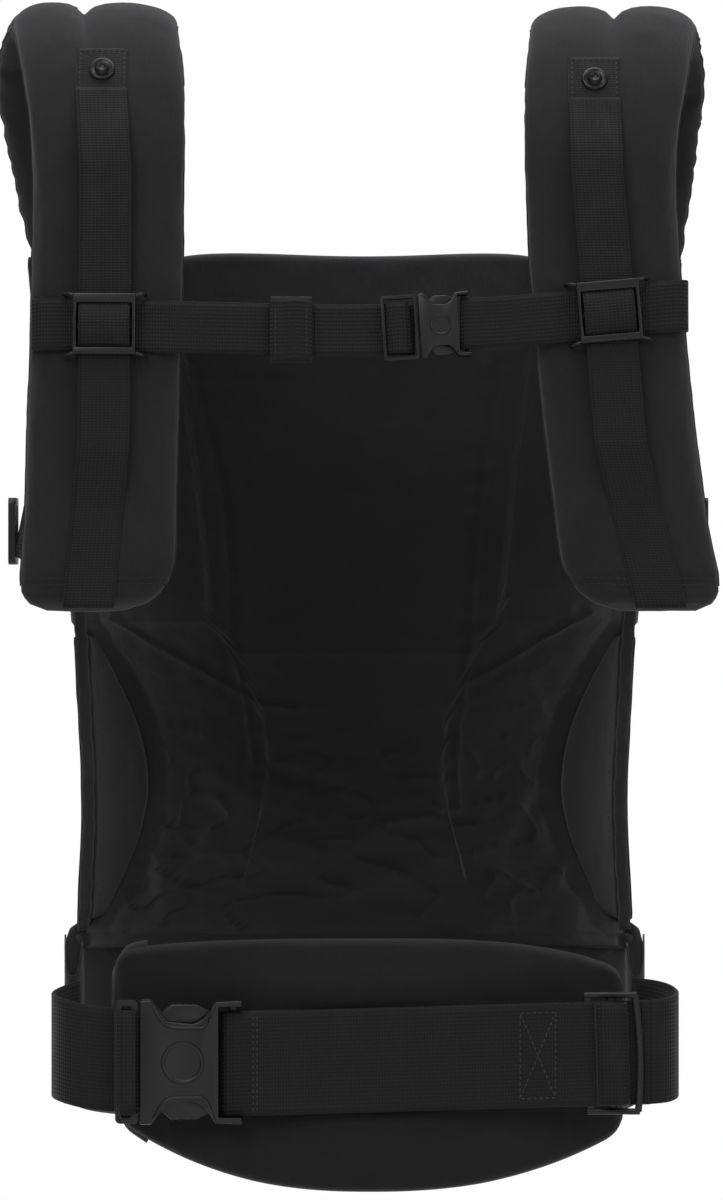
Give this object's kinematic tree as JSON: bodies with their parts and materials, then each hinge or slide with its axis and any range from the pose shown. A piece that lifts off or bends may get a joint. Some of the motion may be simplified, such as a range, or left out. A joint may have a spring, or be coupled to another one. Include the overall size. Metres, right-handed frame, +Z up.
{
  "type": "soft baby carrier",
  "caption": "Soft structured baby carrier: cloth panel with leg wings, padded shoulder straps, chest strap on sliders and a buckled waist belt with lumbar pad.",
  "frame": {"origin": "centre of the closed waist-belt loop, at mid-height of its 50 mm webbing, where the wearer's waist goes", "axes": "+X towards the tri-glide end of the belt, +Y from the belt buckle towards the child panel, +Z up along the panel"},
  "size_m": [0.3599, 0.2205, 0.5866],
  "materials": {
    "cotton_cover": "woven cotton, matt",
    "lining_cloth": "fine woven lining, matt",
    "foam": "polyester foam, matt",
    "webbing": "ribbed polyester webbing",
    "buckle_plastic": "satin moulded"
  },
  "bodies": {
    "carrier": {"panel_lining": "lining_cloth", "panel_padding": "foam", "panel_outer_shell": "cotton_cover", "left_leg_wing": "cotton_cover", "left_edge_binding": "cotton_cover", "right_leg_wing": "cotton_cover", "right_edge_binding": "cotton_cover", "hood_pocket": "cotton_cover", "zip_tape": "cotton_cover", "waistband_inner_cover": "cotton_cover", "waistband_foam": "foam", "waistband_outer_cover": "cotton_cover", "left_strap_front_cover": "cotton_cover", "left_strap_front_foam": "foam", "left_strap_front_lining": "lining_cloth", "left_strap_rear_cover": "cotton_cover", "left_strap_rear_foam": "foam", "left_strap_rear_lining": "lining_cloth", "left_rail_webbing": "webbing", "left_stud_tab": "webbing", "left_press_stud": "buckle_plastic", "left_side_webbing": "webbing", "right_strap_front_cover": "cotton_cover", "right_strap_front_foam": "foam", "right_strap_front_lining": "lining_cloth", "right_strap_rear_cover": "cotton_cover", "right_strap_rear_foam": "foam", "right_strap_rear_lining": "lining_cloth", "right_rail_webbing": "webbing", "right_stud_tab": "webbing", "right_press_stud": "buckle_plastic", "right_side_webbing": "webbing", "front_waist_webbing": "webbing", "right_waist_webbing": "webbing", "waist_buckle_socket": "buckle_plastic"},
    "head_support": {"head_support_lining": "lining_cloth", "head_support_foam": "foam", "head_support_cover": "cotton_cover"},
    "zip_slider": {"zip_slider": "buckle_plastic"},
    "waist_triglide": {"waist_triglide": "buckle_plastic"},
    "waist_plug": {"waist_buckle_plug": "buckle_plastic", "left_waist_webbing": "webbing"},
    "waist_arm_upper": {"waist_release_arm_upper": "buckle_plastic"},
    "waist_arm_lower": {"waist_release_arm_lower": "buckle_plastic"},
    "lumbar_pad": {"lumbar_pad_front_cover": "cotton_cover", "lumbar_pad_foam": "foam", "lumbar_pad_back_cover": "cotton_cover", "lumbar_end_band": "webbing"},
    "chest_strap": {"chest_webbing_left": "webbing", "chest_webbing_right": "webbing", "chest_buckle_socket": "buckle_plastic"},
    "chest_keeper": {"chest_keeper": "webbing"},
    "chest_plug": {"chest_buckle_plug": "buckle_plastic"},
    "chest_arm_upper": {"chest_release_arm_upper": "buckle_plastic"},
    "chest_arm_lower": {"chest_release_arm_lower": "buckle_plastic"},
    "left_chest_slider": {"left_chest_slider": "buckle_plastic"},
    "right_chest_slider": {"right_chest_slider": "buckle_plastic"},
    "left_adjuster": {"left_strap_adjuster": "buckle_plastic"},
    "right_adjuster": {"right_strap_adjuster": "buckle_plastic"}
  },
  "joints": [
    {"name": "head_support_fold", "type": "hinge", "parent": "carrier", "child": "head_support", "pos_m": [-0.0035, 0.0785, 0.3635], "axis": [-1, 0, 0], "range_deg": [0, 150]},
    {"name": "zip_travel", "type": "slide", "parent": "carrier", "child": "zip_slider", "axis": [1, 0, 0], "range_m": [0, 0.076]},
    {"name": "waist_triglide_slide", "type": "slide", "parent": "carrier", "child": "waist_triglide", "axis": [0.9996, 0, 0.029], "range_m": [-0.025, 0]},
    {"name": "waist_buckle_release", "type": "slide", "parent": "carrier", "child": "waist_plug", "axis": [-1, 0, 0], "range_m": [0, 0.045]},
    {"name": "waist_arm_press", "type": "hinge", "parent": "waist_plug", "child": "waist_arm_upper", "pos_m": [-0.1045, -0.096, 0.0158], "axis": [0, 1, 0], "range_deg": [0, 7], "stiffness_Nm_per_rad": 0.05},
    {"name": "waist_arm_press_lower", "type": "hinge", "parent": "waist_plug", "child": "waist_arm_lower", "pos_m": [-0.1045, -0.096, -0.0142], "axis": [0, -1, 0], "range_deg": [0, 7], "stiffness_Nm_per_rad": 0.05},
    {"name": "lumbar_pad_slide", "type": "slide", "parent": "carrier", "child": "lumbar_pad", "axis": [1, 0, 0], "range_m": [-0.01, 0.01]},
    {"name": "chest_strap_height", "type": "slide", "parent": "carrier", "child": "chest_strap", "axis": [0, 0.0422, 0.9991], "range_m": [-0.035, 0.05]},
    {"name": "left_chest_slider_travel", "type": "slide", "parent": "carrier", "child": "left_chest_slider", "axis": [0.0053, 0.0422, 0.9991], "range_m": [-0.0355, 0.0505]},
    {"name": "right_chest_slider_travel", "type": "slide", "parent": "carrier", "child": "right_chest_slider", "axis": [-0.083, 0.0421, 0.9957], "range_m": [-0.0355, 0.0505]},
    {"name": "chest_keeper_slide", "type": "slide", "parent": "chest_strap", "child": "chest_keeper", "axis": [1, 0, 0], "range_m": [-0.012, 0.006]},
    {"name": "chest_buckle_release", "type": "slide", "parent": "chest_strap", "child": "chest_plug", "axis": [-0.9981, -0.0026, -0.061], "range_m": [0, 0.025]},
    {"name": "chest_arm_press", "type": "hinge", "parent": "chest_plug", "child": "chest_arm_upper", "pos_m": [0.02826, -0.07733, 0.36198], "axis": [0, 0.9991, -0.0422], "range_deg": [0, 7], "stiffness_Nm_per_rad": 0.004},
    {"name": "chest_arm_press_lower", "type": "hinge", "parent": "chest_plug", "child": "chest_arm_lower", "pos_m": [0.02923, -0.078, 0.34613], "axis": [0, -0.9991, 0.0422], "range_deg": [0, 7], "stiffness_Nm_per_rad": 0.004},
    {"name": "left_adjuster_tilt", "type": "hinge", "parent": "carrier", "child": "left_adjuster", "pos_m": [-0.1724, -0.016, 0.256], "axis": [0, 0, -1], "range_deg": [0, 30]},
    {"name": "right_adjuster_tilt", "type": "hinge", "parent": "carrier", "child": "right_adjuster", "pos_m": [0.1692, -0.016, 0.256], "axis": [0, 0, 1], "range_deg": [0, 30]}
  ],
  "couplings": [
    {"joint": "waist_arm_press_lower", "follows": "waist_arm_press", "ratio": 1},
    {"joint": "chest_arm_press_lower", "follows": "chest_arm_press", "ratio": 1},
    {"joint": "left_chest_slider_travel", "follows": "chest_strap_height", "ratio": 1},
    {"joint": "right_chest_slider_travel", "follows": "chest_strap_height", "ratio": 1.0035}
  ]
}
